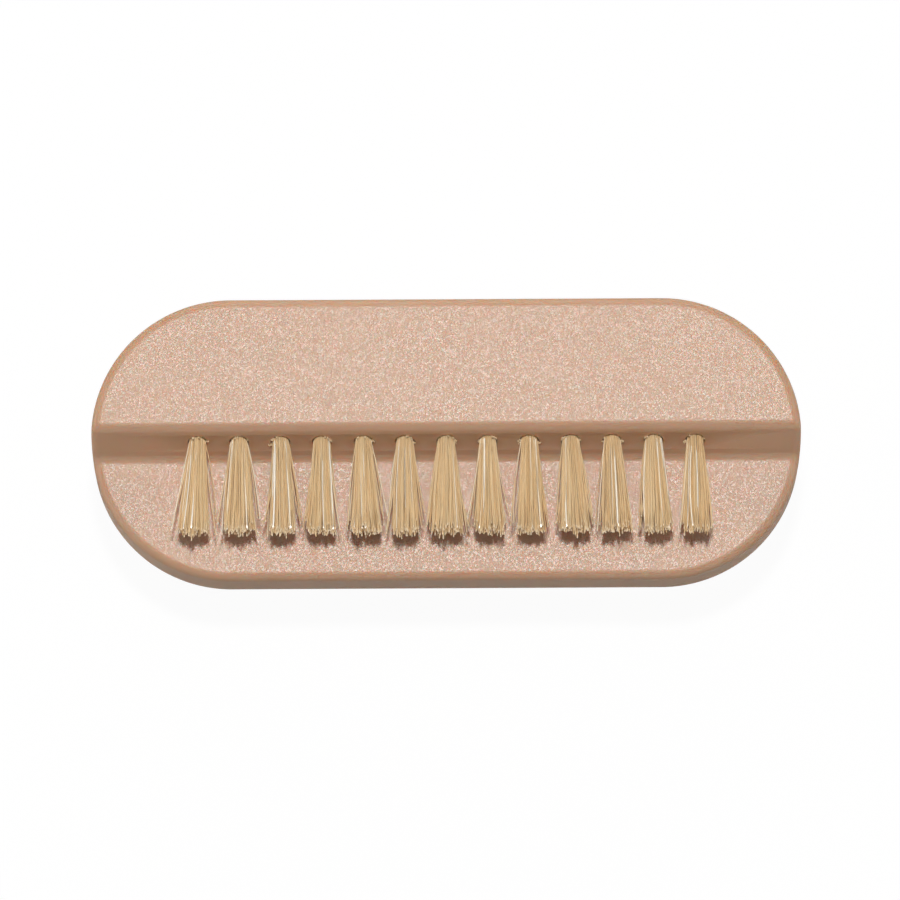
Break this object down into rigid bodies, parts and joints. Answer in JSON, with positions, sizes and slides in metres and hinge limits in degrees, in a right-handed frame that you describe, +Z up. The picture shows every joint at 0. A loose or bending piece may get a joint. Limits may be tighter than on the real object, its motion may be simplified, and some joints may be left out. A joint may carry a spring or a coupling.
{
  "type": "nail brush",
  "caption": "Two-sided nail brush: pill-shaped moulded body with a slanted step, a row of nail tufts over its ledge, and a scrubbing field underneath.",
  "frame": {"origin": "below the middle of the body, on the level of the trimmed tips of the scrubbing tufts, on which the brush stands", "axes": "+X along the brush, +Y across it from the ledge to the plateau, +Z up, away from the scrubbing tufts"},
  "size_m": [0.095, 0.0374, 0.0272],
  "materials": {
    "body_plastic": "blush pink-beige moulded plastic with a fine matt spark texture that glitters slightly",
    "bristle_fibre": "straw coloured natural plant fibre, slightly waxy, with pale cut tips",
    "anchor_wire": "flat drawn wire, cut to length"
  },
  "bodies": {
    "root": {"brush_body": "body_plastic", "nail_tuft_01": "bristle_fibre", "nail_tuft_02": "bristle_fibre", "nail_tuft_03": "bristle_fibre", "nail_tuft_04": "bristle_fibre", "nail_tuft_05": "bristle_fibre", "nail_tuft_06": "bristle_fibre", "nail_tuft_07": "bristle_fibre", "nail_tuft_08": "bristle_fibre", "nail_tuft_09": "bristle_fibre", "nail_tuft_10": "bristle_fibre", "nail_tuft_11": "bristle_fibre", "nail_tuft_12": "bristle_fibre", "nail_tuft_13": "bristle_fibre", "field_tuft_01": "bristle_fibre", "field_tuft_02": "bristle_fibre", "field_tuft_03": "bristle_fibre", "field_tuft_04": "bristle_fibre", "field_tuft_05": "bristle_fibre", "field_tuft_06": "bristle_fibre", "field_tuft_07": "bristle_fibre", "field_tuft_08": "bristle_fibre", "field_tuft_09": "bristle_fibre", "field_tuft_10": "bristle_fibre", "field_tuft_11": "bristle_fibre", "field_tuft_12": "bristle_fibre", "field_tuft_13": "bristle_fibre", "field_tuft_14": "bristle_fibre", "field_tuft_15": "bristle_fibre", "field_tuft_16": "bristle_fibre", "field_tuft_17": "bristle_fibre", "field_tuft_18": "bristle_fibre", "field_tuft_19": "bristle_fibre", "field_tuft_20": "bristle_fibre", "field_tuft_21": "bristle_fibre", "field_tuft_22": "bristle_fibre", "field_tuft_23": "bristle_fibre", "field_tuft_24": "bristle_fibre", "field_tuft_25": "bristle_fibre", "field_tuft_26": "bristle_fibre", "field_tuft_27": "bristle_fibre", "field_tuft_28": "bristle_fibre", "field_tuft_29": "bristle_fibre", "field_tuft_30": "bristle_fibre", "nail_anchor_01": "anchor_wire", "nail_anchor_02": "anchor_wire", "nail_anchor_03": "anchor_wire", "nail_anchor_04": "anchor_wire", "nail_anchor_05": "anchor_wire", "nail_anchor_06": "anchor_wire", "nail_anchor_07": "anchor_wire", "nail_anchor_08": "anchor_wire", "nail_anchor_09": "anchor_wire", "nail_anchor_10": "anchor_wire", "nail_anchor_11": "anchor_wire", "nail_anchor_12": "anchor_wire", "nail_anchor_13": "anchor_wire"}
  },
  "joints": []
}
